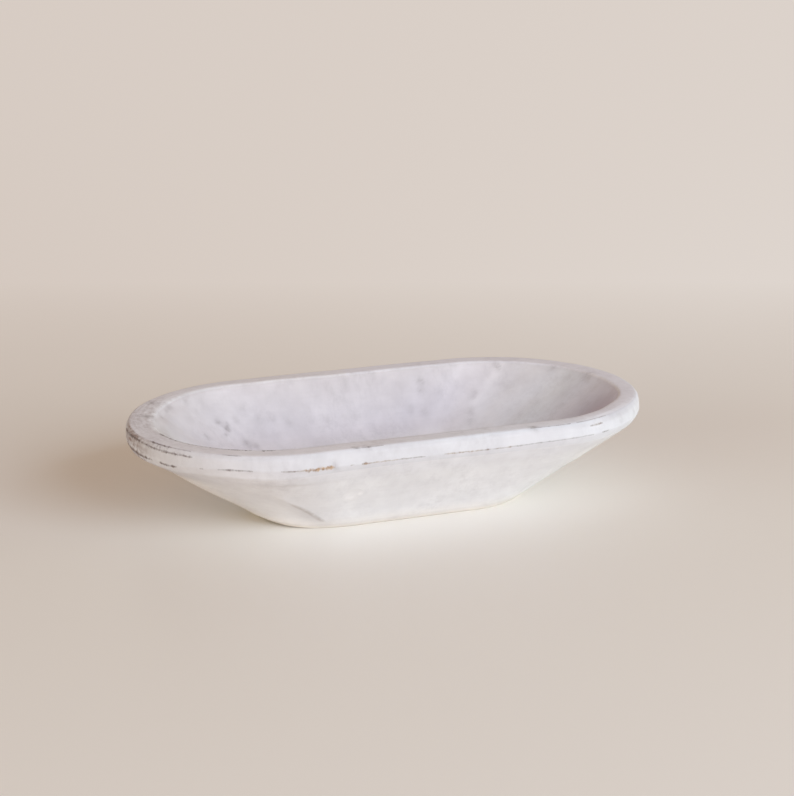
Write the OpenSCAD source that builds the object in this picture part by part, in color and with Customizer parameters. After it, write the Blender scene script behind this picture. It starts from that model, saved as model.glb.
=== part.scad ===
// Oval dough bowl, carved from one block of light wood and painted white.
// Millimetres, +Z up. The origin is the middle of the flat foot, and +X runs along the bowl.

/* [Whole bowl] */
// Length over the rim's band, end to end
bowl_l = 250; // [230:1:290]
// Width over the rim's band, side to side
bowl_w = 134; // [126:1:146]
// Height from the foot to the rim top
bowl_h = 45.5; // [40:0.5:60]

/* [Foot] */
// Length of the flat foot
foot_l = 135; // [124:1:150]
// Width of the flat foot
foot_w = 77; // [70:1:88]
// Size of the sanded edge round the foot
foot_ease = 0.8; // [0.3:0.1:1.5]

/* [Rim] */
// Width of the rim top, from the chamfer to the mouth
rim_w = 9.6; // [8:0.1:12]
// How far the outer chamfer goes in from the band
chamfer_in = 1.4; // [0.6:0.1:2.4]
// How far the outer chamfer goes down from the rim top
chamfer_drop = 2.2; // [1.2:0.1:3]
// Height of the upright band under the chamfer
band_h = 4.4; // [3:0.1:6]
// How far the facet under the band goes in
facet_in = 1.2; // [0.6:0.1:2.4]
// Height of the facet under the band
facet_drop = 2.4; // [1.2:0.1:4]
// Radius of the worn inner lip
lip_r = 1.2; // [0.6:0.1:2]

/* [Hollow] */
// Thickness of the floor
floor_t = 10; // [8:0.5:13]
// Length of the floor's flat middle
floor_l = 84; // [60:1:96]
// Width of the floor's flat middle
floor_w = 26; // [16:1:32]

/* [Knot plug] */
// Diameter of the plug
plug_d = 10; // [7:0.5:12]
// How deep the plug goes into the wall
plug_depth = 5; // [3.5:0.5:6]
// Glue gap round the plug
plug_gap = 0.1; // [0.05:0.05:0.2]
// Distance of the plug's middle from where the straight side turns into the round end
plug_from_turn = 7.5; // [7:0.5:20]
// Height of the plug's middle above the foot
plug_up = 20; // [17:0.5:23]

/* [Hidden] */

whitewash = [0.90, 0.89, 0.89];
filled_white = [0.95, 0.95, 0.93];

// Steps round each end of an outline, down the lip and down the hollow
end_steps = 36;
lip_steps = 4;
hollow_steps = 14;
// How far the plug's bore runs on past the wall that it opens
overrun = 3;

// What the hollow's curve is pulled to, below the lip and then beside the floor:
// shares of the mouth's half width and of the hollow's depth
wall_pull_shares = [0.90, 0.55];
floor_pull_shares = [0.70, 1];

// An outline is a straight-sided oval:
// [half length of its straight sides, radius of its round ends, height above the foot]
function outline(l, w, z) = [(l - w) / 2, w / 2, z];
function grown(o, by, z) = [o[0], o[1] + by, z];
function between(a, b, share) = a + (b - a) * share;
function share_up(a, b, z) = (z - a[2]) / (b[2] - a[2]);

band_top = outline(bowl_l, bowl_w, bowl_h - chamfer_drop);
band_foot = grown(band_top, 0, band_top[2] - band_h);
wall_top = grown(band_top, -facet_in, band_foot[2] - facet_drop);
wall_foot = outline(foot_l, foot_w, foot_ease);
mouth = grown(band_top, -chamfer_in - rim_w, bowl_h - lip_r);
hollow_floor = outline(floor_l, floor_w, floor_t);

outside = [
    grown(wall_foot, -foot_ease, 0),
    wall_foot,
    wall_top,
    band_foot,
    band_top,
    grown(band_top, -chamfer_in, bowl_h)
];

// The worn lip is a quarter round from the rim top down to the mouth
lip = [for (i = [0 : lip_steps - 1])
    let (turn = 90 * i / lip_steps)
    grown(mouth, lip_r * (1 - sin(turn)), mouth[2] + lip_r * cos(turn))];

// The hollow is one smooth curve: it falls from the mouth, leans in and runs out level
// on the floor, while the straight sides shorten in step with the depth
function pulled(a, b, c, d, t) =
    a * pow(1 - t, 3) + 3 * b * t * pow(1 - t, 2) + 3 * c * pow(t, 2) * (1 - t) + d * pow(t, 3);
hollow = [for (i = [0 : hollow_steps])
    let (t = i / hollow_steps,
         radius = pulled(mouth[1], mouth[1] * wall_pull_shares[0],
                         mouth[1] * floor_pull_shares[0], hollow_floor[1], t),
         depth_share = pulled(0, wall_pull_shares[1], floor_pull_shares[1], 1, t))
    [between(mouth[0], hollow_floor[0], depth_share), radius,
     between(mouth[2], hollow_floor[2], depth_share)]];

// One closed skin over a run of outlines, each a ring of points, with a flat cap at both ends
function end_points(o, side, from) = [for (i = [0 : end_steps])
    let (a = from + 180 * i / end_steps)
    [side * o[0] + o[1] * cos(a), o[1] * sin(a), o[2]]];
function ring(o) = concat(end_points(o, 1, -90), end_points(o, -1, 90));

module skin(outlines) {
    count = 2 * (end_steps + 1);
    last = len(outlines) - 1;
    sides = [for (k = [0 : last - 1], i = [0 : count - 1])
        let (next = (i + 1) % count)
        [k * count + i, (k + 1) * count + i, (k + 1) * count + next, k * count + next]];
    first_cap = [for (i = [0 : count - 1]) i];
    last_cap = [for (i = [count - 1 : -1 : 0]) last * count + i];
    polyhedron([for (o = outlines) each ring(o)], concat([first_cap, last_cap], sides));
}

// A place on the near side wall, with +Z turned to point straight out of the wall
plug_share = share_up(wall_foot, wall_top, plug_up);
plug_place = [
    plug_from_turn - between(wall_foot[0], wall_top[0], plug_share),
    -between(wall_foot[1], wall_top[1], plug_share),
    plug_up
];
wall_slope = atan2(wall_top[2] - wall_foot[2], wall_top[1] - wall_foot[1]);

module at_knot() {
    translate(plug_place) rotate([180 - wall_slope, 0, 0]) children();
}

// The carved block, with a blind bore where the knot was drilled out
module bowl_body() {
    color(whitewash) difference() {
        skin(concat(outside, lip, hollow));
        at_knot() translate([0, 0, -plug_depth])
            cylinder(d = plug_d + 2 * plug_gap, h = plug_depth + overrun, $fn = 64);
    }
}

// The round plug, glued into the bore and sanded flush with the wall
module knot_plug() {
    color(filled_white) at_knot() translate([0, 0, -plug_depth])
        cylinder(d = plug_d, h = plug_depth, $fn = 64);
}

bowl_body();
knot_plug();
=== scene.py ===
import math
from collections import namedtuple

import bmesh
import bpy
from mathutils import Matrix, Vector, geometry, kdtree, noise


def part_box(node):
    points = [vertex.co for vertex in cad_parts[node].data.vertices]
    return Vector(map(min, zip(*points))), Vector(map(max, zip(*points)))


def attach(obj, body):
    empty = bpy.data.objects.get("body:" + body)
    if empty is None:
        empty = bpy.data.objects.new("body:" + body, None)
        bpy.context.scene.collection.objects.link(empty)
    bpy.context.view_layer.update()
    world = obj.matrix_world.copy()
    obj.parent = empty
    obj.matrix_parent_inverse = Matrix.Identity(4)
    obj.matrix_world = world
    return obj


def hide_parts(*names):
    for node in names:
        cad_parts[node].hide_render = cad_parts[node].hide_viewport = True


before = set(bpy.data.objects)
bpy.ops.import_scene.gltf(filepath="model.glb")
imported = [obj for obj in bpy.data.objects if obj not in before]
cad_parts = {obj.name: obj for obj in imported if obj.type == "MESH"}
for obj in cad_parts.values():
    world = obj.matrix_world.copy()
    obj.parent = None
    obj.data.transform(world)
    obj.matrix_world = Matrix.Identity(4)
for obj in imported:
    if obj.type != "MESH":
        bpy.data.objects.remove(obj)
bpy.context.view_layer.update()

# Without a seed the noise would shift with the clock
noise.seed_set(1)

# The bowl is worked out in millimetres and brought to metres when a piece is finished
MM = 0.001
UP = Vector((0, 0, 1))
_, body_high = (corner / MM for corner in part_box("bowl_body"))
plug_low, plug_high = (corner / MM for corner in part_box("knot_plug"))

# Sizes of the carved block: the first three from its box, and the others as in the part's source
BAND_R = body_high.y
RIM_STRAIGHT = body_high.x - BAND_R
TOP = body_high.z
FOOT_R, FOOT_STRAIGHT, FOOT_EASE = 38.5, 29.0, 0.8
CHAMFER_IN, CHAMFER_DROP = 1.4, 2.2
BAND_H = 4.4
FACET_IN, FACET_DROP = 1.2, 2.4
RIM_W, LIP_R = 9.6, 1.2
FLOOR_T, FLOOR_R, FLOOR_STRAIGHT = 10.0, 13.0, 29.0

# What the hollow's curve is pulled to, below the lip and then beside the floor: shares of the
# mouth's radius and of the hollow's depth
WALL_PULL_SHARES, FLOOR_PULL_SHARES = (0.90, 0.55), (0.70, 1.0)

# Heights and radii that follow from them
BAND_TOP = TOP - CHAMFER_DROP
BAND_FOOT = BAND_TOP - BAND_H
WALL_TOP = BAND_FOOT - FACET_DROP
WALL_TOP_R = BAND_R - FACET_IN
RIM_EDGE_R = BAND_R - CHAMFER_IN
RIM_MIDDLE_R = RIM_EDGE_R - RIM_W / 2
MOUTH_R = RIM_EDGE_R - RIM_W
MOUTH_Z = TOP - LIP_R
HALF_ROUND = 2 * RIM_STRAIGHT + math.pi * BAND_R

# About half the wall's thickness, by which its inside is told from its outside
HALF_WALL = 4

# How finely the block's skin is cut
PROFILE_STEP = 1.3
TURN_STEPS = 248
STRAIGHT_CUTS = 66
ARRIS_CUTS = 4
HOLLOW_POINTS = 48

# How far off the lathe's axis the profiles end, and how close points are joined into one
AXIS_GAP = 0.02
JOIN = 0.005

# The knot plug on the near wall
PLUG_R = 5.0
PLUG_DEPTH = 5.0
PLUG_GAP = 0.02
PLUG_SIDES = 64
PLUG_RINGS, PLUG_RING_W = 9, 0.5
PLUG_MIDDLE = (plug_low + plug_high) / 2
OUT_OF_WALL = Vector((0, FOOT_EASE - WALL_TOP, FOOT_R - WALL_TOP_R)).normalized()
PLUG_FACE = PLUG_MIDDLE + OUT_OF_WALL * PLUG_DEPTH / 2
# Two dabs of filler on its face, by where they are on it: (place, size, how white)
FILLER = [((-1.4, -1.0), 3.2, 1.0), ((3.4, 0.5), 1.3, 1.0)]

# Faces that meet at more than this, in degrees, keep a sharp edge between them
SHARP = 50

# The photograph's width and the camera's focal length in its pixels, and where the camera stands:
# degrees round from the near side and up, and metres away. It looks at a point above the floor.
PHOTO_W, FOCAL_PX = 794, 1800
CAMERA_TURN, CAMERA_UP, CAMERA_AWAY = -21.24, 18.34, 0.861
CAMERA_AIM = Vector((0.009, 0.0106, 0.0435))
SENSOR_W = 36

# Soft lamps, metres away and aimed at the bowl: (name, degrees round from the camera, degrees up,
# width and height in metres, colour, strength, where 1 lights white to white)
LAMP_AWAY, LAMP_AIM = 2.2, Vector((0, 0, 0.02))
LAMPS = [
    ("low_left_light", -30, 7, (1.5, 0.45), "FFE6BF", 0.194),
    ("left_window", -60, 15, (1.5, 0.45), "DFFBFF", 0.209),
    ("front_window", 45, 25, (1.5, 1.0), "D9ECFF", 0.814),
    ("low_right_light", 85, 7, (1.5, 0.45), "F7FFD7", 0.303),
]
ROOM, ROOM_STRENGTH = "FFD8B9", 0.359

# The pale colour behind everything, and the tones that it drifts through from left to right
BACKGROUND = "DBD2C9"
BACKGROUND_SIDES = ("D5C9C0", "DED5CE")
FLOOR = "F2EDE7"
FLOOR_HALF = 8000


# Soft steps and patches


def smooth(off, on, value):
    """0 up to one value, 1 from the other on and a soft step between them, either way round."""
    t = min(max((value - off) / (on - off), 0), 1)
    return t * t * (3 - 2 * t)


def between(low, high, value):
    """How far a value has come from one end to the other, from 0 to 1."""
    return min(max((value - low) / (high - low), 0), 1)


def peak(before, full, after, value):
    """1 where it is full, falling softly to 0 at both sides."""
    return smooth(before, full, value) * smooth(after, full, value)


def hump(value, middle, half):
    """1 at the middle, and falling softly away to both sides."""
    return math.exp(-((value - middle) / half) ** 2)


# In the tables of patches, a half length or half height that takes in the whole bowl
ALL = math.inf


def along(places, run):
    """What soft places along a run add up to: (middle, half length, how much)."""
    return sum(much * hump(run, middle, half) for middle, half, much in places)


def patched(patches, run, z):
    """What soft patches add up to: (middle, half length, height, half height, how much)."""
    return sum(much * hump(run, middle, half) * hump(z, height, half_height)
               for middle, half, height, half_height, much in patches)


def faded(patches, run, z):
    """What patches that fade in from one height to another add up to: (middle, half length, height
    where they start, height where they are full, how much)."""
    return sum(much * hump(run, middle, half) * smooth(start, full, z)
               for middle, half, start, full, much in patches)


# The form of the bowl


def outside_straight(z):
    """Half length of the outside's straight sides at a height."""
    return FOOT_STRAIGHT + (RIM_STRAIGHT - FOOT_STRAIGHT) * between(FOOT_EASE, WALL_TOP, z)


def hollow_straight(z):
    """Half length of the hollow's straight sides at a height."""
    return FLOOR_STRAIGHT + (RIM_STRAIGHT - FLOOR_STRAIGHT) * between(FLOOR_T, MOUTH_Z, z)


def outside_profile():
    """Corners from the middle of the foot up to the middle of the rim: (radius, height, rounding)."""
    return [
        (AXIS_GAP, 0, 0),
        (FOOT_R - FOOT_EASE, 0, 0),
        (FOOT_R, FOOT_EASE, 0.4),
        (WALL_TOP_R, WALL_TOP, 1.0),
        (BAND_R, BAND_FOOT, 0.6),
        (BAND_R, BAND_TOP, 0.7),
        (RIM_EDGE_R, TOP, 0.7),
        (RIM_MIDDLE_R, TOP, 0),
    ]


def hollow_profile():
    """Corners from the middle of the rim over the worn lip and down to the middle of the floor. The
    lip's rounding takes the place of the curve's first points."""
    depth = MOUTH_Z - FLOOR_T
    curve = geometry.interpolate_bezier(
        Vector((MOUTH_R, 0, MOUTH_Z)),
        Vector((MOUTH_R * WALL_PULL_SHARES[0], 0, MOUTH_Z - depth * WALL_PULL_SHARES[1])),
        Vector((MOUTH_R * FLOOR_PULL_SHARES[0], 0, MOUTH_Z - depth * FLOOR_PULL_SHARES[1])),
        Vector((FLOOR_R, 0, FLOOR_T)),
        HOLLOW_POINTS,
    )
    corners = [(RIM_MIDDLE_R, TOP, 0), (MOUTH_R, TOP, 1.5 * LIP_R)]
    return corners + [(p.x, p.z, 0) for p in curve[2:]] + [(AXIS_GAP, FLOOR_T, 0)]


def draw_profile(bm, corners):
    """The corners as a wire, its arrises rounded and its long runs cut into short steps."""
    verts = [bm.verts.new((r, 0, z)) for r, z, _ in corners]
    for pair in zip(verts, verts[1:]):
        bm.edges.new(pair)
    for vert, (_, _, rounding) in zip(verts, corners):
        if rounding:
            bmesh.ops.bevel(bm, geom=[vert], offset=rounding, offset_type="OFFSET",
                            segments=ARRIS_CUTS, profile=0.5, affect="VERTICES", material=-1)
    for edge in [e for e in bm.edges if e.calc_length() > PROFILE_STEP]:
        cuts = int(edge.calc_length() / PROFILE_STEP)
        bmesh.ops.subdivide_edges(bm, edges=[edge], cuts=cuts)


def turned_and_stretched(corners, straight_at):
    """The profile turned round like a bowl on a lathe, then parted and drawn out into an oval. It
    starts half a step round, so that no line of points lies where the halves part, and each half
    of the small ring round the axis closes to a point."""
    bm = bmesh.new()
    draw_profile(bm, corners)
    half_step = math.pi / TURN_STEPS
    wire = bm.verts[:] + bm.edges[:]
    bmesh.ops.rotate(bm, verts=bm.verts, cent=(0, 0, 0), matrix=Matrix.Rotation(half_step, 3, "Z"))
    bmesh.ops.spin(bm, geom=wire, cent=(0, 0, 0), axis=(0, 0, 1), angle=2 * math.pi,
                   steps=TURN_STEPS, use_merge=True)
    for vert in bm.verts:
        side = math.copysign(1, vert.co.x)
        if vert.co.xy.length < 2 * AXIS_GAP:
            vert.co.xy = (0, 0)
        vert.co.x += side * straight_at(vert.co.z)
    across = [e for e in bm.edges if e.verts[0].co.x * e.verts[1].co.x < 0]
    bmesh.ops.subdivide_edges(bm, edges=across, cuts=STRAIGHT_CUTS)
    return bm


def block_mesh():
    """The whole carved block as one closed skin, before any unevenness."""
    bm = turned_and_stretched(outside_profile(), outside_straight)
    hollow = turned_and_stretched(hollow_profile(), hollow_straight)
    hollow_part = bpy.data.meshes.new("hollow_part")
    hollow.to_mesh(hollow_part)
    hollow.free()
    bm.from_mesh(hollow_part)
    bpy.data.meshes.remove(hollow_part)
    bmesh.ops.remove_doubles(bm, verts=bm.verts, dist=JOIN)
    bmesh.ops.recalc_face_normals(bm, faces=bm.faces)
    return bm


# Places on the bowl

Place = namedtuple("Place", "run reach outline level_out inside")


def place_of(p):
    """Where a point of the skin lies: its run along the rim's outline from the middle of the near
    side, plus to the right; its reach out from the straight middle line; the nearest point of the
    rim's outline; the level way out to that; and if it is inside."""
    wall_r = FOOT_R + (WALL_TOP_R - FOOT_R) * min(p.z / WALL_TOP, 1)
    straight = hollow_straight(p.z)
    reach = math.hypot(max(abs(p.x) - straight, 0), p.y)
    inside = reach < wall_r - HALF_WALL
    if not inside:
        straight = outside_straight(p.z)
        reach = math.hypot(max(abs(p.x) - straight, 0), p.y)
    past = max(abs(p.x) - straight, 0)
    across = Vector((past, p.y)) * BAND_R / max(reach, 0.01)
    outline = Vector((min(abs(p.x) / straight, 1) * RIM_STRAIGHT + across.x, across.y, 0))
    if past:
        run = RIM_STRAIGHT + BAND_R * (math.atan2(p.y, past) + math.pi / 2)
    else:
        run = outline.x if p.y < 0 else HALF_ROUND - outline.x
    outline.x = math.copysign(outline.x, p.x)
    level_out = Vector((math.copysign(across.x, p.x), across.y, 0)).normalized()
    return Place(math.copysign(run, p.x), reach, outline, level_out, inside)


# The rounded arrises of the block, by how far out and how high they run
ARRISES = {
    "foot": (FOOT_R, FOOT_EASE),
    "band_foot": (BAND_R - 0.07, BAND_FOOT),
    "band_top": (BAND_R - 0.1, BAND_TOP),
    "rim_edge": (RIM_EDGE_R - 0.1, TOP - 0.15),
    "lip": (MOUTH_R + 1.2, TOP - 0.1),
}


def nearest_arris(p, place):
    """The nearest arris to a point, and the gap to it in mm."""
    gaps = {name: math.hypot(place.reach - r, p.z - z) for name, (r, z) in ARRISES.items()}
    name = min(gaps, key=gaps.get)
    return name, gaps[name]


# The carver's hand

# Slow and quick unevenness of the whole skin: (size in mm, how far it goes)
UNEVEN = [(45, 0.2), (14, 0.12)]

# Where the outline, the mouth and the band's upper part at the near right are drawn in from a true
# oval, and where that part sinks with it, by run: (middle, half length, mm)
OUTSIDE_DRAWN_IN = [(-228, 42, 2.5), (-182, 18, 0.8)]
MOUTH_DRAWN_IN = [(-178, 40, 3.6), (-222, 22, 1.0), (104, 18, 0.9)]
EDGE_DRAWN_IN = [(92, 32, 2.2)]
EDGE_SUNK = [(92, 32, 0.4)]
LIP_WORN = [(-180, 45, 1.3)]

# Where the band's two arrises and the wall's top wander up and down: (middle, half length, mm up)
BAND_FOOT_WANDER = [(-146, 24, -1.3), (-124, 8, -0.8), (-94, 13, 0.6), (-45, 60, -0.5), (28, 24, -0.6)]
BAND_TOP_WANDER = [(-152, 14, 0.8), (76, 14, -0.3)]
WALL_TOP_WANDER = [(-84, 27, -2.0), (76, 40, -0.8)]

# Where the band's lower arris is nicked: (length of a nick, how deep)
NICKS = (2.5, 0.22)

# Where the hollow and the wall are fuller: (middle, half length, height, half height, mm)
HOLLOW_FULLER = [(138, 19, 35, 9, 2.8)]
WALL_FULLER = [
    (-147, 34, 15, 14, 2.1), (110, 40, 26, 12, 0.6),
    (-113, 30, 0, 6, 3.8), (-127, 22, 0, 4, 0.8),
]

# How far the foot's edge is worn up off the table, at its near left corner and all round
CORNER_LIFTED = [(-127, 22, 1.1)]
EDGE_LIFTED = 0.08

# The gouge's marks down the hollow: how far apart, how much they bend, how deep, and the dips and
# strokes between them
GOUGE_STEP, GOUGE_BEND, GOUGE_DEPTH = 27, 9, 0.16
GOUGE_DIP, GOUGE_STROKE = 0.25, 0.04

# The knife left a ridge down the near left corner of the wall, from under the band to the foot.
# It stands up sharply, in a shallow dip.
RIDGE = [Vector(p) for p in (
    (-68, -49, 21), (-64, -47, 18), (-59, -45.4, 14.5), (-54, -43.5, 11), (-47, -40, 5.5),
)]
RIDGE_UP, RIDGE_W = 1.1, 5
RIDGE_DIP, RIDGE_DIP_W = 0.3, 14
RIDGE_FAR_X = -30


def off_ridge(p):
    """Distance of a point from the knife's ridge."""
    nearest = math.inf
    for high, low in zip(RIDGE, RIDGE[1:]):
        share = geometry.intersect_point_line(p, high, low)[1]
        nearest = min(nearest, (p - high.lerp(low, min(max(share, 0), 1))).length)
    return nearest


def near_ridge(p, place, below):
    """If a point is on the near left of the wall, under a height."""
    return not place.inside and p.z < below and p.x < RIDGE_FAR_X and p.y < 0


def strokes(p, outline):
    """The gouge's narrow strokes down the slope, from minus to plus 1."""
    return noise.noise(Vector((outline.x / 6, outline.y / 6, p.z / 26))) * 1.6


def mouth_move(p, place):
    """How the mouth is drawn in, and the hollow made fuller."""
    near_lip = smooth(MOUTH_Z - 22, MOUTH_Z, p.z) * smooth(RIM_MIDDLE_R, MOUTH_R, place.reach)
    outward = patched(HOLLOW_FULLER, place.run, p.z) - along(MOUTH_DRAWN_IN, place.run) * near_lip
    return place.level_out * outward


def outside_move(p, place):
    """How the outline and the band's upper part are drawn in, and its arrises wander."""
    run, reach, level_out = place.run, place.reach, place.level_out
    on_wall = p.z < WALL_TOP
    high_up = smooth(8, 34, p.z) * (1 if on_wall else smooth(RIM_MIDDLE_R, RIM_EDGE_R, reach))
    moved = level_out * -along(OUTSIDE_DRAWN_IN, run) * high_up
    at_edge = smooth(RIM_MIDDLE_R, RIM_EDGE_R, reach) * between(BAND_FOOT, TOP, p.z) ** 1.3
    moved -= (level_out * along(EDGE_DRAWN_IN, run) + UP * along(EDGE_SUNK, run)) * at_edge
    at_foot = peak(26, BAND_FOOT, BAND_TOP, p.z)
    moved.z += along(BAND_FOOT_WANDER, run) * at_foot
    moved.z += along(BAND_TOP_WANDER, run) * peak(BAND_FOOT, BAND_TOP, TOP, p.z)
    if p.z > WALL_TOP + 1:
        nick, deep = NICKS
        moved.z += deep * noise.noise(Vector((run / nick, 0, 5))) * at_foot
    deeper = along(WALL_TOP_WANDER, run) * peak(26, WALL_TOP, BAND_FOOT, p.z)
    return moved + (UP + level_out * 0.5) * deeper


def carved_move(p, normal, place):
    """How far the carver's hand took a point away from the true form."""
    run, reach = place.run, place.reach
    moved = Vector()
    for size, far in UNEVEN:
        moved += noise.noise_vector(p / size) * far
    moved += mouth_move(p, place) if place.inside or reach < RIM_MIDDLE_R else outside_move(p, place)
    on_lip = hump(reach, MOUTH_R - 0.5, 3) * smooth(MOUTH_Z - 5, MOUTH_Z, p.z)
    moved.z -= along(LIP_WORN, run) * on_lip
    if place.inside and reach < MOUTH_R - 0.5:
        bend = noise.noise(p / 30) * GOUGE_BEND
        scoop = GOUGE_DEPTH * math.cos((run + bend) * 2 * math.pi / GOUGE_STEP)
        scoop += GOUGE_DIP * noise.noise(p / 17) + GOUGE_STROKE * strokes(p, place.outline)
        moved += normal * scoop * smooth(12, 30, reach)
    elif near_ridge(p, place, WALL_TOP + 1):
        off = off_ridge(p)
        moved += normal * (RIDGE_UP * math.exp(-off / RIDGE_W) - RIDGE_DIP * hump(off, 0, RIDGE_DIP_W))
    return moved


def corner_move(p, place):
    """The wall's fuller near corners, and the foot's edge worn up off the table."""
    outward = patched(WALL_FULLER, place.run, p.z) * smooth(30, FOOT_R, place.reach)
    lifted = along(CORNER_LIFTED, place.run) * smooth(31, FOOT_R, place.reach)
    lifted += EDGE_LIFTED * smooth(36, FOOT_R, place.reach)
    return place.level_out * outward + UP * lifted * smooth(4, 0, p.z)


# How the paint is worn, and the painted shade along the lip

# Where it is rubbed through along each arris, by run: (from, to, half width, how tan the wood is).
# Along the lip at the near left it is painted shade instead, where the lip's rounding turns away from
# the light.
RUBBED_AND_LIP_SHADE = {
    "band_top": [
        (-170, -150, 0.66, 0), (-150, -126, 0.5, 0), (-125, -114, 0.42, 0), (75, 82, 0.34, 0.3),
    ],
    "rim_edge": [
        (-140, -126, 0.45, 0), (-125, -115, 0.12, 0), (-99, -92, 0.18, 0), (-41, -38, 0.2, 0),
        (-36, -33, 0.36, 0), (-31, -27, 0.2, 0.2), (43, 64, 0.15, 0), (67, 88, 0.1, 0),
    ],
    "band_foot": [
        (-168, -146, 0.75, 0), (-146, -137, 0.52, 0), (-132, -122, 0.5, 0), (-110, -108, 0.26, 0),
        (-101, -99, 0.2, 0), (-98, -94, 0.42, 0), (-93, -90, 0.34, 0), (-89, -86, 0.24, 0),
        (-74, -66, 0.22, 0.2), (-65, -59, 0.62, 0.7), (-59, -51, 0.8, 1), (-43, -42, 0.3, 0.4),
        (-38, -35, 0.5, 0.7), (-35, -22, 0.26, 0.7), (-20, -18, 0.34, 0.2), (-18, -9, 0.18, 0.1),
        (2, 18, 0.28, 0.6), (20, 23, 0.3, 0.3), (26, 33, 0.34, 0.4), (35, 39, 0.22, 0.1),
        (41, 44, 0.14, 0), (46, 49, 0.15, 0), (51, 55, 0.14, 0), (57, 60, 0.12, 0),
        (63, 67, 0.14, 0), (70, 76, 0.12, 0), (81, 85, 0.28, 0),
    ],
    # Along the lip at the near left this grey line is painted shade, where the lip's rounding turns
    # away from the light.
    "lip": [(-150, -104, 0.7, 0), (-103, -88, 1.2, 0), (-83, -76, 1.4, 0), (-73, -70, 1.1, 0)],
}
# Each worn place fades in from this far before its end to this far past it
FADE_BEFORE, FADE_PAST = 1.2, 0.8

# The part of the band that the photograph shows, by run. Beyond it the wear is scattered.
SEEN_FROM, SEEN_TO = -176, 132
SCATTERED_HALF_WIDTH = 0.6

# How far off an arris, or off the ridge, a point is taken to be clear of its wear
FAR_OFF = 6


def rubbed_and_lip_shade_at(arris, run):
    """Half the width that is rubbed bare at a place on an arris, in mm, and how tan the wood is. Along
    the lip at the near left it is the width of a painted shade line.
    """
    width = tan = 0.0
    for start, end, half_width, tone in RUBBED_AND_LIP_SHADE.get(arris, []):
        starting = smooth(start - FADE_BEFORE, start + FADE_PAST, run)
        ending = smooth(end + FADE_BEFORE, end - FADE_PAST, run)
        if half_width * starting * ending > width:
            width, tan = half_width * starting * ending, tone
    if arris in ("band_foot", "band_top") and not SEEN_FROM < run < SEEN_TO:
        height = ARRISES[arris][1]
        patchy = noise.noise(Vector((run / 11, height, 0)))
        patchy += 0.5 * noise.noise(Vector((run / 4, height, 9)))
        beyond = smooth(0, 8, max(SEEN_FROM - run, run - SEEN_TO))
        width = max(width, SCATTERED_HALF_WIDTH * beyond * max(patchy - 0.1, 0))
    return width, tan


# Grey smudges and nicks where the paint is thin: (x, y, z, radius, strength)
SMUDGES = [
    (-70, 44.6, 31, 1.5, 0.75), (-66.1, 44.5, 29.2, 1.2, 0.6), (-66.6, 42.7, 27.7, 1.4, 1),
    (-67.4, 40.3, 25.9, 1.2, 0.8), (-79.3, 33.1, 27.7, 1.3, 0.6), (-80.6, 33.4, 28.8, 1.2, 0.45),
    (-57.8, 37.5, 20.6, 2.4, 0.6), (-54, 37, 19.3, 2.2, 0.5), (-55, 52.3, 34.5, 1.8, 0.3),
    (-60.1, 47.5, 29.7, 1.6, 0.3), (-33.5, 48.1, 26.8, 2.2, 0.3), (-41.4, 49.1, 28.9, 2, 0.25),
    (-48.5, 49.2, 29.1, 2.2, 0.3), (1.1, 46.8, 25, 2.4, 0.3), (30.7, 47, 25, 2, 0.3),
    (38.5, 46.2, 24.4, 2, 0.25), (38.9, 54, 38.1, 1.4, 0.5), (38.3, 52.4, 34.4, 1.6, 0.45),
    (65.4, 46.1, 30.6, 2, 0.4), (60.9, 40.6, 24.1, 2.2, 0.4), (58.7, 35.5, 19.9, 2, 0.35),
    (80, 50.3, 43, 1.5, 0.9), (81.6, 40.1, 33.7, 2.4, 0.25), (102.7, 32.8, 43.9, 1.6, 0.35),
    (111.8, 13.1, 43.7, 2.5, 0.5), (-86.4, 46.7, 44.2, 1.8, 0.45),
    (-98.2, 36.6, 45, 1.7, 0.9), (-96.4, 38.4, 45, 1.4, 0.6), (-100.3, 34.3, 45, 1.5, 0.8),
    (-105.1, 26.4, 45, 1.8, 0.8), (-104.3, 39.1, 45.4, 2.4, 0.6), (-113.2, 18.6, 45.4, 3, 0.55),
    (-40.5, -64.6, 45.5, 1.1, 1), (-35.1, -65, 45.5, 1.6, 0.5), (44.7, -64.4, 45.5, 1.9, 1),
    (94.8, -56, 41.5, 1.7, 0.35), (106.6, -46, 41.5, 1.5, 0.4), (-49.9, -66.8, 39.2, 1.5, 0.6),
]
# How far round a point smudges are looked for, and how much longer they are up and down
SMUDGE_SEARCH = 9
SMUDGE_FLATTENED = 0.65
smudge_finder = kdtree.KDTree(len(SMUDGES))
for index, smudge in enumerate(SMUDGES):
    smudge_finder.insert(smudge[:3], index)
smudge_finder.balance()


def smudge_at(p):
    """How strong the grey smudges are at a point; their edges are ragged."""
    ragged = p + noise.noise_vector(p / 2.5) * 1.1
    most = 0.0
    for middle, index, _ in smudge_finder.find_range(p, SMUDGE_SEARCH):
        radius, strength = SMUDGES[index][3:]
        off = ragged - middle
        off.z *= SMUDGE_FLATTENED
        most = max(most, strength * hump(off.length, 0, radius))
    return most
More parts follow.
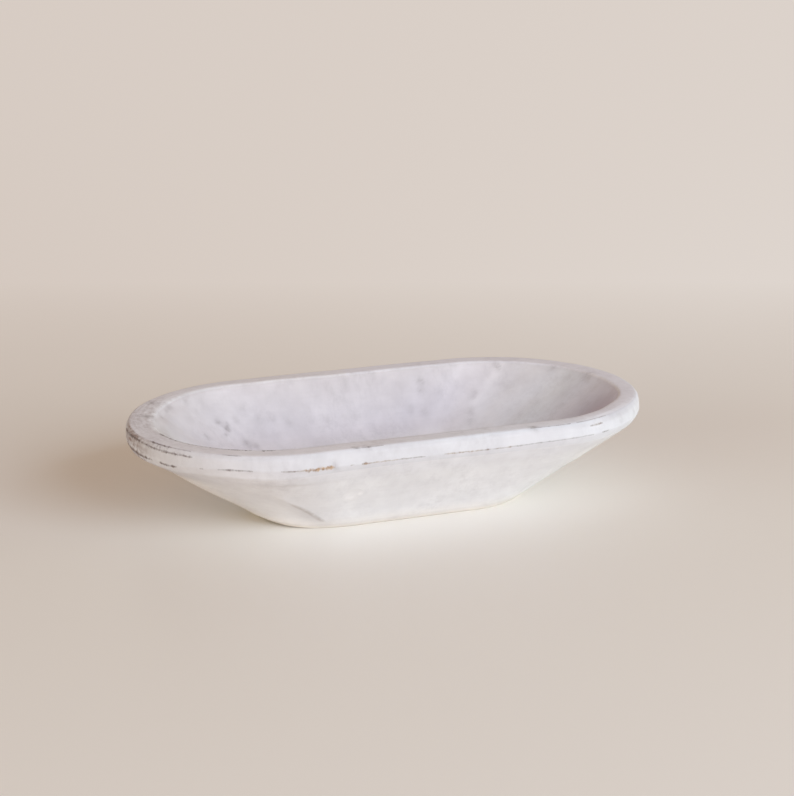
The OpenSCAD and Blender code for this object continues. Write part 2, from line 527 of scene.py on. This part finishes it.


# How the coat is in one place and another, with painted light and shade

# Where the coat is painted whiter and where greyer: by run, or in the hollow also by x, either as
# patches, for patched(), or fading in from one height to another, for faded(). These are painted light
# and shade.
HOLLOW_BY_X = [(-65, 40, 0, ALL, 0.18), (38, 32, 0, ALL, -0.12), (38, 32, 23, 9, -0.2)]
# The dark patch at run 143 is painted shade: the crescent under the right end's rim.
HOLLOW_PATCHES = [
    (-45, 45, 0, ALL, 0.2), (143, 14, 32, 8, -0.95), (250, 30, 15, 5, 0.2),
    (200, 22, 17, 6, 0.15), (290, 22, 24, 6, -0.1), (-210, 14, 27, 5, -0.18),
]
# The narrow fade at run 238 is a painted highlight down the hollow's far wall.
HOLLOW_FADES = [(238, 3.2, 22, 30, 0.25), (-108, 24, 26, 34, 0.45), (-180, 24, 38, 43, 0.3)]
BAND_FADES = [(-90, 28, BAND_FOOT + 1, WALL_TOP, 0.4)]
# All round, just above the foot, the wall is painted darker: painted contact shade.
WALL_PATCHES = [(-97, 10, 13, 4, 0.25), (0, ALL, 1.7, 0.9, -0.25)]
# All round, whiter toward the foot and on its edge: painted bounce light from the floor. At run -145
# the wall's top is darker: painted shade on the left end.
WALL_FADES = [
    (0, ALL, 12, 1, 0.13), (0, ALL, 0.95, 0.4, 0.2), (-92, 25, 8, 26, 0.2),
    (-108, 16, 20, 4, 0.3), (-145, 24, 24, 31, -0.75),
]

# How the coat's tint drifts, as what is added to red, green and blue for one part of each. Where they
# are laid on, they paint the colour of light and shade: warm bounce light and warm shade, cool light,
# and lilac in the hollow and its shade.
LILAC = Vector((0.012, -0.018, -0.004))
COOL = Vector((-0.02, -0.01, 0.04))
WARM = Vector((0.02, 0, -0.035))


def hollow_coat_and_painted_light(p, run):
    """How white the coat is painted in the hollow, and its tint: lilac, and cool at the right end. Both
    are painted light and shade: whiter toward the floor and to the right, a painted highlight down the
    far wall, and painted lilac shade under the right end's rim.
    """
    white = 0.05 + 0.53 * smooth(MOUTH_Z, FLOOR_T, p.z) + 0.35 * smooth(-50, 60, p.x)
    white += patched(HOLLOW_BY_X, p.x, p.z)
    white += patched(HOLLOW_PATCHES, run, p.z) + faded(HOLLOW_FADES, run, p.z)
    lilac = 1.1 * smooth(-150, -210, run) + 1.1 * smooth(205, 260, run) - 0.8 * hump(run, 190, 14)
    lilac = lilac * smooth(12, 20, p.z) + 2.8 * hump(run, 138, 17) * hump(p.z, 35, 9)
    cool = 2 * smooth(240, 140, run) * smooth(90, 120, run) + 0.8 * hump(run, -100, 25)
    return white, LILAC * lilac + COOL * cool


def rim_coat_and_painted_light(p, run, on_top):
    """How white the coat is painted on the rim and the band, and its tint: cool at the right. Both are
    painted light and shade: the rim top much whiter than the band, and whiter places along the band.
    """
    on_band = 0.14 * smooth(10, 50, run) * smooth(100, 75, run) + 0.12 * hump(run, -110, 16)
    white = 0.16 + 0.79 * on_top + on_band * (1 - on_top) + faded(BAND_FADES, run, p.z)
    right = smooth(-30, 20, run) * smooth(TOP - 2, TOP, p.z)
    lilac = -0.6 * right * smooth(100, 60, run)
    cool = 0.5 + 0.5 * right
    return white, LILAC * lilac + COOL * cool


def wall_coat_and_painted_light(p, run):
    """How white the coat is painted on the wall, and its tint: warm toward the foot and at the left.
    Both are painted light and shade: whiter at the right end and whiter and warm toward the foot, which
    is painted bounce light from the floor; darker just above the foot, which is painted contact shade;
    cooler at the top; and the wall's top at the left end darker and warm, which is painted shade.
    """
    white = 0.49 + 0.25 * smooth(60, 110, run)
    white += patched(WALL_PATCHES, run, p.z) + faded(WALL_FADES, run, p.z)
    cool = 0.4 * smooth(26, 34, p.z)
    warm = 1.2 * smooth(8, 1, p.z) + 1.2 * smooth(2.6, 0.4, p.z) + 2.4 * hump(run, -146, 20)
    return white, COOL * cool + WARM * warm


def thin_coat_and_painted_shade_at(p, place, on_top):
    """How thin the coat is over the wood on the rim top, and how much of the same mauve is painted
    shade:
    on the worn lip, dulling its rounding, and at the left end of the band and of the wall's top, on the
    side turned from the light."""
    thin_coat_and_painted_shade = on_top * (0.06 + 0.35 * hump(place.run, -25, 38) + hump(place.run, -188, 48))
    if place.inside or place.reach < RIM_MIDDLE_R:
        # Painted shade round the lip
        lip = hump(place.reach, MOUTH_R + 0.7, 1.4) * smooth(MOUTH_Z - 1, MOUTH_Z + 0.4, p.z)
        return max(thin_coat_and_painted_shade, 0.32 * lip)
    # Painted shade on the left end of the band and the wall's top, which face away from the light
    painted_shade_at_left_end = hump(place.run, -159, 17) * (1 - on_top) * smooth(24, BAND_FOOT, p.z)
    return max(thin_coat_and_painted_shade, 3.0 * painted_shade_at_left_end)


# What is worked out for each point of the skin and read by its paint
WORKED = ("arris_mm", "rubbed_and_lip_shade_mm", "tan", "crease_mm", "smudge", "coat_and_painted_light", "thin_coat_and_painted_shade", "shade")


def paint_at(p, place):
    """What the paint is like at a point, by the names in WORKED, and its tint."""
    arris, gap = nearest_arris(p, place)
    rubbed_and_lip_shade, tan = rubbed_and_lip_shade_at(arris, place.run) if gap < FAR_OFF else (0, 0)
    on_top = smooth(TOP - 1.2, TOP - 0.1, p.z) * smooth(RIM_EDGE_R + 0.1, RIM_EDGE_R - 0.7, place.reach)
    in_hollow = place.inside and place.reach < MOUTH_R
    if in_hollow:
        white, tint_and_painted_light = hollow_coat_and_painted_light(p, place.run)
    elif p.z > WALL_TOP:
        white, tint_and_painted_light = rim_coat_and_painted_light(p, place.run, on_top)
    else:
        white, tint_and_painted_light = wall_coat_and_painted_light(p, place.run)
    return {
        "arris_mm": gap if rubbed_and_lip_shade else FAR_OFF,
        "rubbed_and_lip_shade_mm": rubbed_and_lip_shade,
        "tan": tan,
        "crease_mm": off_ridge(p) + 1.5 * smooth(15, 20, p.z) if near_ridge(p, place, 22) else FAR_OFF,
        "smudge": smudge_at(p),
        "coat_and_painted_light": white,
        "thin_coat_and_painted_shade": thin_coat_and_painted_shade_at(p, place, on_top),
        "shade": 0.25 + 0.2 * strokes(p, place.outline) if in_hollow else 0.1,
    }, Vector((1, 1, 1)) + tint_and_painted_light


def work_the_skin(bm):
    """Carves the skin by hand and writes on each point what its paint is like there. The foot and
    the skin round the plug keep their true form."""
    layers = {name: bm.verts.layers.float.new(name) for name in WORKED}
    sweep = bm.verts.layers.float_vector.new("sweep")
    tint_and_painted_light = bm.verts.layers.float_vector.new("tint_and_painted_light")
    bm.normal_update()
    moves = []
    for vert in bm.verts:
        p = vert.co
        place = place_of(p)
        worked, vert[tint_and_painted_light] = paint_at(p, place)
        for name, value in worked.items():
            vert[layers[name]] = value
        vert[sweep] = Vector((place.outline.x, place.outline.y, place.reach - p.z)) * MM
        free = smooth(0.5, 8, p.z) * smooth(PLUG_R + 1.5, PLUG_R + 9, (p - PLUG_FACE).length)
        move = carved_move(p, vert.normal, place) * free
        if not place.inside and p.z < WALL_TOP:
            move += corner_move(p, place)
        moves.append(move)
    for vert, move in zip(bm.verts, moves):
        vert.co += move


def finished(bm, name, material):
    """A mesh object in metres at the origin, smooth shaded, from a piece in millimetres."""
    bmesh.ops.transform(bm, verts=bm.verts, matrix=Matrix.Scale(MM, 4))
    for face in bm.faces:
        face.smooth = True
    for edge in bm.edges:
        edge.smooth = edge.calc_face_angle(0) < math.radians(SHARP)
    mesh = bpy.data.meshes.new(name)
    bm.to_mesh(mesh)
    bm.free()
    piece = bpy.data.objects.new(name, mesh)
    bpy.context.scene.collection.objects.link(piece)
    mesh.materials.append(material)
    return piece


# Finishes

# The coat where it is thin and where it is thick, between which painted light and shade are mixed, and
# the bare wood in the dark, which also paints the shade along the lip at the near left, and the tan
# wear
THIN_COAT, THICK_COAT = "CECBCF", "F0EEF1"
GREY_WOOD_AND_LIP_SHADE, TAN_WOOD_DARK, TAN_WOOD_PALE = "6F6261", "8A6A52", "C6A98C"
# What greys, lines, shows through, smudges and creases the coat; the mauve that shows through also
# paints shade on the lip and at the band's left end
GREYED, GRAIN_LINE, WOOD_THROUGH_AND_PAINTED_SHADE, SMUDGE, CREASE = "A8A1A6", "A79C97", "94827F", "8B8284", "8C7D71"
# The plug's face beside the filler and on it
PLUG_COAT, FILLER_WHITE = "DCD9DC", "F3F0F3"
CHALKY_ROUGHNESS, CHALKY_SPECULAR = 0.8, 0.3

# Sockets of a colour Mix node, whose names stand for those of other kinds of Mix too
SHARE, FIRST, SECOND = 0, 6, 7


def linear(hex_colour):
    """A hex colour as the linear red, green, blue and alpha that the shaders take."""
    channels = [int(hex_colour[i:i + 2], 16) / 255 for i in (0, 2, 4)]
    return [c / 12.92 if c <= 0.04045 else ((c + 0.055) / 1.055) ** 2.4 for c in channels] + [1]


def add(tree, kind, sockets=None, **settings):
    """Adds a node with its settings; a socket is given a value, or what feeds it: an output, or a
    node for its first output in use."""
    made = tree.nodes.new(kind)
    for key, value in settings.items():
        setattr(made, key, value)
    for key, value in (sockets or {}).items():
        if isinstance(value, bpy.types.Node):
            value = next(output for output in value.outputs if output.enabled)
        if isinstance(value, bpy.types.NodeSocket):
            tree.links.new(value, made.inputs[key])
        else:
            made.inputs[key].default_value = value
    return made


def new_material(name):
    material = bpy.data.materials.new(name)
    material.use_nodes = True
    tree = material.node_tree
    return material, tree, tree.nodes["Principled BSDF"]


def per_mm(size):
    """Noise scale for a pattern of that size in millimetres, on Object coordinates in metres."""
    return 1 / (size * MM)


def chalk_painted_wood():
    """Chalk paint over light wood, brushed on by hand and rubbed through at the arrises: dull and a
    little patchy, mauve where the wood shows through, and brown wood where it is rubbed bare. Its
    whiteness and tint also carry painted light and shade, its mauve paints shade on the lip and at the
    band's left end, and its grey wood paints shade along the lip at the near left."""
    material, tree, shader = new_material("chalk_painted_wood")
    place = add(tree, "ShaderNodeTexCoord").outputs["Object"]
    worked = {name: add(tree, "ShaderNodeAttribute", attribute_name=name).outputs["Fac"]
              for name in WORKED}

    # The coat's whiteness: painted light and shade worked out for each point, and over it the coat is
    # thicker and whiter in some places than in others, in wide drifts and in a mottle
    whiteness_and_painted_light = worked["coat_and_painted_light"]
    for size, detail, roughness in ((28, 5, 0.6), (10, 3, 0.55)):
        drift = add(tree, "ShaderNodeTexNoise", {
            "Vector": place, "Scale": per_mm(size), "Detail": detail, "Roughness": roughness})
        uneven = add(tree, "ShaderNodeMapRange", {
            "Value": drift, "From Min": 0.3, "From Max": 0.7, "To Min": -0.12, "To Max": 0.12})
        whiteness_and_painted_light = add(tree, "ShaderNodeMath", {0: whiteness_and_painted_light, 1: uneven}, operation="ADD")
    paint = add(tree, "ShaderNodeMix", {
        SHARE: whiteness_and_painted_light, FIRST: linear(THIN_COAT), SECOND: linear(THICK_COAT)}, data_type="RGBA")
    # The tint is painted light colour: warm bounce and warm shade, cool light and lilac shade.
    tint_and_painted_light = add(tree, "ShaderNodeAttribute", attribute_name="tint_and_painted_light").outputs["Color"]
    paint = add(tree, "ShaderNodeMix", {SHARE: 1.0, FIRST: paint, SECOND: tint_and_painted_light},
                data_type="RGBA", blend_type="MULTIPLY")

    # Faint grey blotches in loose clusters, drawn out down the slope
    upright = add(tree, "ShaderNodeMapping", {"Vector": place, "Scale": (1, 1, 0.55)})
    blotch = add(tree, "ShaderNodeTexNoise", {
        "Vector": upright, "Scale": per_mm(4.2), "Detail": 4, "Roughness": 0.7})
    cluster = add(tree, "ShaderNodeTexNoise", {"Vector": place, "Scale": per_mm(24), "Detail": 1})
    spots = add(tree, "ShaderNodeMapRange", {"Value": blotch, "From Min": 0.45, "From Max": 0.75})
    where = add(tree, "ShaderNodeMapRange", {
        "Value": cluster, "From Min": 0.35, "From Max": 0.65, "To Min": 0.1})
    greyed = add(tree, "ShaderNodeMath", {0: spots, 1: where}, operation="MULTIPLY")
    greyed = add(tree, "ShaderNodeMath", {0: greyed, 1: 0.26}, operation="MULTIPLY")
    greyed = add(tree, "ShaderNodeMath", {0: worked["shade"], 1: 0.2, 2: greyed},
                 operation="MULTIPLY_ADD")

    # The grain runs along the block
    lengthwise = add(tree, "ShaderNodeMapping", {"Vector": place, "Scale": (0.06, 1, 1)})
    grain = add(tree, "ShaderNodeTexNoise", {
        "Vector": lengthwise, "Scale": per_mm(1.6), "Detail": 4, "Roughness": 0.6})
    lined = add(tree, "ShaderNodeMapRange", {
        "Value": grain, "From Min": 0.35, "From Max": 0.75, "To Max": 0.05})

    # On the rim it is thin in streaks that follow the outline, where the wood shows through in mauve
    # The same mauve on the lip and at the band's left end is painted shade.
    specks = add(tree, "ShaderNodeTexNoise", {
        "Vector": place, "Scale": per_mm(2.4), "Detail": 4, "Roughness": 0.65})
    sweep = add(tree, "ShaderNodeAttribute", attribute_name="sweep").outputs["Vector"]
    drawn = add(tree, "ShaderNodeMapping", {"Vector": sweep, "Scale": (0.08, 0.08, 0.8)})
    streaks = add(tree, "ShaderNodeTexNoise", {
        "Vector": drawn, "Scale": per_mm(1.1), "Detail": 4, "Roughness": 0.65})
    showing = add(tree, "ShaderNodeMath", {0: streaks, 1: specks}, operation="ADD")
    bared = add(tree, "ShaderNodeMapRange", {
        "Value": showing, "From Min": 0.8, "From Max": 1.25, "To Max": 0.45})
    see_through_and_painted_shade = add(tree, "ShaderNodeMath", {0: worked["thin_coat_and_painted_shade"], 1: bared}, operation="MULTIPLY")

    # Smudges are blurred, and the knife's ridge is rubbed to a soft grey brown line
    blurred = add(tree, "ShaderNodeMapRange", {
        "Value": specks, "From Min": 0.25, "From Max": 0.65, "To Min": 0.3, "To Max": 0.85})
    smudged = add(tree, "ShaderNodeMath", {0: worked["smudge"], 1: blurred}, operation="MULTIPLY")
    line = add(tree, "ShaderNodeMapRange", {
        "Value": worked["crease_mm"], "From Min": 0.1, "From Max": 1.8, "To Min": 0.62, "To Max": 0})
    creased = add(tree, "ShaderNodeMath", {0: line, 1: blurred}, operation="MULTIPLY")

    # All of these lie over the coat, one after the other
    for share, tone in ((greyed, GREYED), (lined, GRAIN_LINE), (see_through_and_painted_shade, WOOD_THROUGH_AND_PAINTED_SHADE),
                        (smudged, SMUDGE), (creased, CREASE)):
        paint = add(tree, "ShaderNodeMix", {SHARE: share, FIRST: paint, SECOND: linear(tone)},
                    data_type="RGBA")

    # The arrises are rubbed bare in short ragged dashes, which break up where some paint is kept
    # Along the lip at the near left the same dashes are painted shade.
    ticked = add(tree, "ShaderNodeMapping", {"Vector": sweep, "Scale": (0.9, 0.9, 0.6)})
    torn = add(tree, "ShaderNodeTexNoise", {
        "Vector": ticked, "Scale": per_mm(1.3), "Detail": 4, "Roughness": 0.65})
    ragged = add(tree, "ShaderNodeMapRange", {
        "Value": torn, "From Min": 0.32, "From Max": 0.68, "To Min": 0.05, "To Max": 1.5})
    reached = add(tree, "ShaderNodeMath", {0: worked["rubbed_and_lip_shade_mm"], 1: ragged}, operation="MULTIPLY")
    past = add(tree, "ShaderNodeMath", {0: reached, 1: worked["arris_mm"]}, operation="SUBTRACT")
    bare_and_lip_shade = add(tree, "ShaderNodeMapRange", {"Value": past, "From Min": -0.3, "From Max": 0.35})
    kept = add(tree, "ShaderNodeTexNoise", {"Vector": sweep, "Scale": per_mm(2.8), "Detail": 2})
    broken = add(tree, "ShaderNodeMapRange", {
        "Value": kept, "From Min": 0.4, "From Max": 0.54, "To Min": 0.6, "To Max": 0.95})
    bare_and_lip_shade = add(tree, "ShaderNodeMath", {0: bare_and_lip_shade, 1: broken}, operation="MULTIPLY")
    fibres = add(tree, "ShaderNodeMapRange", {"Value": specks, "From Min": 0.35, "From Max": 0.65})
    tan = add(tree, "ShaderNodeMix", {
        SHARE: fibres, FIRST: linear(TAN_WOOD_DARK), SECOND: linear(TAN_WOOD_PALE)}, data_type="RGBA")
    wood_and_lip_shade = add(tree, "ShaderNodeMix", {
        SHARE: worked["tan"], FIRST: linear(GREY_WOOD_AND_LIP_SHADE), SECOND: tan}, data_type="RGBA")
    colour = add(tree, "ShaderNodeMix", {SHARE: bare_and_lip_shade, FIRST: paint, SECOND: wood_and_lip_shade}, data_type="RGBA")
    tree.links.new(colour.outputs[2], shader.inputs["Base Color"])

    combed = add(tree, "ShaderNodeBump", {"Strength": 0.12, "Distance": 0.15 * MM, "Height": grain})
    daubed = add(tree, "ShaderNodeBump", {
        "Strength": 0.15, "Distance": 0.3 * MM, "Height": blotch, "Normal": combed})
    tree.links.new(daubed.outputs["Normal"], shader.inputs["Normal"])
    shader.inputs["Roughness"].default_value = CHALKY_ROUGHNESS
    shader.inputs["Specular IOR Level"].default_value = CHALKY_SPECULAR
    return material


def filled_knot():
    """Filler and chalk paint over the plug: a shade whiter than the wall where the filler is, and
    the wall's own grey white round it."""
    material, tree, shader = new_material("filled_knot")
    place = add(tree, "ShaderNodeTexCoord").outputs["Object"]
    dabs = add(tree, "ShaderNodeAttribute", attribute_name="filler").outputs["Fac"]
    specks = add(tree, "ShaderNodeTexNoise", {"Vector": place, "Scale": per_mm(3), "Detail": 4})
    filled = add(tree, "ShaderNodeMath", {0: dabs, 1: specks}, operation="MULTIPLY")
    paint = add(tree, "ShaderNodeMix", {
        SHARE: filled, FIRST: linear(PLUG_COAT), SECOND: linear(FILLER_WHITE)}, data_type="RGBA")
    tree.links.new(paint.outputs[2], shader.inputs["Base Color"])
    bump = add(tree, "ShaderNodeBump", {"Strength": 0.2, "Distance": 0.2 * MM, "Height": specks})
    tree.links.new(bump.outputs["Normal"], shader.inputs["Normal"])
    shader.inputs["Roughness"].default_value = CHALKY_ROUGHNESS
    shader.inputs["Specular IOR Level"].default_value = CHALKY_SPECULAR
    return material


def plain_floor():
    """A plain pale tabletop with a faint sheen, which fades into a pale background."""
    material, tree, shader = new_material("plain_floor")
    shader.inputs["Base Color"].default_value = linear(FLOOR)
    shader.inputs["Roughness"].default_value = 0.4
    shader.inputs["Specular IOR Level"].default_value = 0.5
    place = add(tree, "ShaderNodeTexCoord").outputs["Object"]
    view_away = -toward(CAMERA_TURN, 0)
    view_right = Vector((view_away.y, -view_away.x, 0))

    # It fades with its distance from the bowl and from the front, for the camera alone
    away = add(tree, "ShaderNodeVectorMath", {0: place}, operation="LENGTH").outputs["Value"]
    far = add(tree, "ShaderNodeMapRange", {"Value": away, "From Min": 0.15, "From Max": 0.9},
              interpolation_type="SMOOTHSTEP")
    depth = add(tree, "ShaderNodeVectorMath", {0: place, 1: view_away},
                operation="DOT_PRODUCT").outputs["Value"]
    behind = add(tree, "ShaderNodeMapRange", {"Value": depth, "From Min": 0.12, "From Max": 0.5})
    faded_out = add(tree, "ShaderNodeMath", {0: far, 1: behind}, operation="MAXIMUM")
    seen = add(tree, "ShaderNodeLightPath").outputs["Is Camera Ray"]
    share = add(tree, "ShaderNodeMath", {0: faded_out, 1: seen}, operation="MULTIPLY").outputs[0]

    # The background's tone drifts from left to right
    across = add(tree, "ShaderNodeVectorMath", {0: place, 1: view_right},
                 operation="DOT_PRODUCT").outputs["Value"]
    side = add(tree, "ShaderNodeMath", {0: across, 1: away}, operation="DIVIDE")
    side = add(tree, "ShaderNodeMapRange", {"Value": side, "From Min": -0.5, "From Max": 0.5})
    left, right = (linear(tone) for tone in BACKGROUND_SIDES)
    tone = add(tree, "ShaderNodeMix", {SHARE: side, FIRST: left, SECOND: right}, data_type="RGBA")
    even = add(tree, "ShaderNodeEmission", {"Color": tone, "Strength": 1.0})
    mixed = add(tree, "ShaderNodeMixShader", {0: share, 1: shader.outputs["BSDF"], 2: even})
    tree.links.new(mixed.outputs["Shader"], tree.nodes["Material Output"].inputs["Surface"])
    return material


# Pieces


def wall_turned(at):
    """Places a shape that is built standing on Z square to the near wall, at a point of its face."""
    return Matrix.Translation(at) @ UP.rotation_difference(OUT_OF_WALL).to_matrix().to_4x4()


def bore_for_plug(block):
    """Cuts the plug's blind bore into the block and gives back the cut mesh."""
    bm = bmesh.new()
    radius = PLUG_R + PLUG_GAP
    length = PLUG_DEPTH + 2 * PLUG_R
    bmesh.ops.create_cone(bm, cap_ends=True, segments=PLUG_SIDES, radius1=radius, radius2=radius,
                          depth=length, matrix=Matrix.Translation(UP * (length / 2 - PLUG_DEPTH)))
    bmesh.ops.transform(bm, verts=bm.verts, matrix=wall_turned(PLUG_FACE))
    cutter = finished(bm, "bore_cutter", block.data.materials[0])
    cut = block.modifiers.new("bore", "BOOLEAN")
    cut.operation = "DIFFERENCE"
    cut.solver = "EXACT"
    cut.object = cutter
    shown = block.evaluated_get(bpy.context.evaluated_depsgraph_get())
    bm = bmesh.new()
    bm.from_mesh(shown.to_mesh())
    shown.to_mesh_clear()
    for spent in (cutter, block):
        mesh = spent.data
        bpy.data.objects.remove(spent)
        bpy.data.meshes.remove(mesh)
    bmesh.ops.transform(bm, verts=bm.verts, matrix=Matrix.Scale(1 / MM, 4))
    return bm


def make_bowl_body():
    paint = chalk_painted_wood()
    bm = bore_for_plug(finished(block_mesh(), "block", paint))
    work_the_skin(bm)
    body = finished(bm, "carved_bowl", paint)
    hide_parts("bowl_body")
    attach(body, "root")


def make_knot_plug():
    bm = bmesh.new()
    bmesh.ops.create_cone(bm, cap_ends=True, segments=PLUG_SIDES, radius1=PLUG_R, radius2=PLUG_R,
                          depth=PLUG_DEPTH, matrix=Matrix.Translation(UP * -PLUG_DEPTH / 2))
    face = max(bm.faces, key=lambda f: f.calc_center_median().z)
    for _ in range(PLUG_RINGS):
        bmesh.ops.inset_individual(bm, faces=[face], thickness=PLUG_RING_W, use_even_offset=True)
    filler = bm.verts.layers.float.new("filler")
    for vert in bm.verts:
        vert[filler] = max(white * hump((vert.co.xy - Vector(at)).length, 0, size)
                           for at, size, white in FILLER)
    bmesh.ops.transform(bm, verts=bm.verts, matrix=wall_turned(PLUG_FACE))
    plug = finished(bm, "filled_plug", filled_knot())
    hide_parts("knot_plug")
    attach(plug, "root")


# Stage, light and camera


def toward(turn, up):
    """The way from the bowl to a place so many degrees round from its near side, and up."""
    azimuth, elevation = math.radians(turn), math.radians(up)
    return Vector((
        math.sin(azimuth) * math.cos(elevation),
        -math.cos(azimuth) * math.cos(elevation),
        math.sin(elevation),
    ))


def hang(name, data, place, aim):
    """Hangs a lamp or the camera at a place, turned to look at another."""
    hung = bpy.data.objects.new(name, data)
    bpy.context.scene.collection.objects.link(hung)
    hung.location = place
    hung.rotation_euler = (place - aim).to_track_quat("Z", "Y").to_euler()
    return hung


def lay_floor():
    bm = bmesh.new()
    bmesh.ops.create_grid(bm, x_segments=1, y_segments=1, size=FLOOR_HALF)
    finished(bm, "floor", plain_floor())


def light_room():
    """A warm pale room, with a cool window in front, one at the left and low lights at both sides."""
    world = bpy.data.worlds.new("pale_room")
    bpy.context.scene.world = world
    world.use_nodes = True
    tree = world.node_tree
    room = tree.nodes["Background"]
    room.inputs["Color"].default_value = linear(ROOM)
    room.inputs["Strength"].default_value = ROOM_STRENGTH
    behind = add(tree, "ShaderNodeBackground", {"Color": linear(BACKGROUND), "Strength": 1.0})
    path = add(tree, "ShaderNodeLightPath")
    seen = path.outputs["Is Camera Ray"]
    for ray in ("Is Glossy Ray", "Is Transmission Ray"):
        seen = add(tree, "ShaderNodeMath", {0: seen, 1: path.outputs[ray]}, operation="MAXIMUM")
        seen = seen.outputs[0]
    mixed = add(tree, "ShaderNodeMixShader", {0: seen, 1: room.outputs[0], 2: behind.outputs[0]})
    tree.links.new(mixed.outputs[0], tree.nodes["World Output"].inputs["Surface"])
    for name, turn, up, size, colour, strength in LAMPS:
        lamp = bpy.data.lights.new(name, "AREA")
        lamp.shape = "RECTANGLE"
        lamp.size, lamp.size_y = size
        lamp.energy = strength * (math.pi * LAMP_AWAY) ** 2
        lamp.color = linear(colour)[:3]
        hang(name, lamp, LAMP_AWAY * toward(CAMERA_TURN + turn, up), LAMP_AIM)


def place_camera():
    """The photograph's view of the bowl."""
    data = bpy.data.cameras.new("camera")
    data.sensor_fit = "HORIZONTAL"
    data.sensor_width = SENSOR_W
    data.lens = SENSOR_W * FOCAL_PX / PHOTO_W
    camera = hang("camera", data, CAMERA_AWAY * toward(CAMERA_TURN, CAMERA_UP), CAMERA_AIM)
    bpy.context.scene.camera = camera


place_camera()
make_bowl_body()
make_knot_plug()
lay_floor()
light_room()
bpy.context.scene.view_settings.view_transform = "Standard"
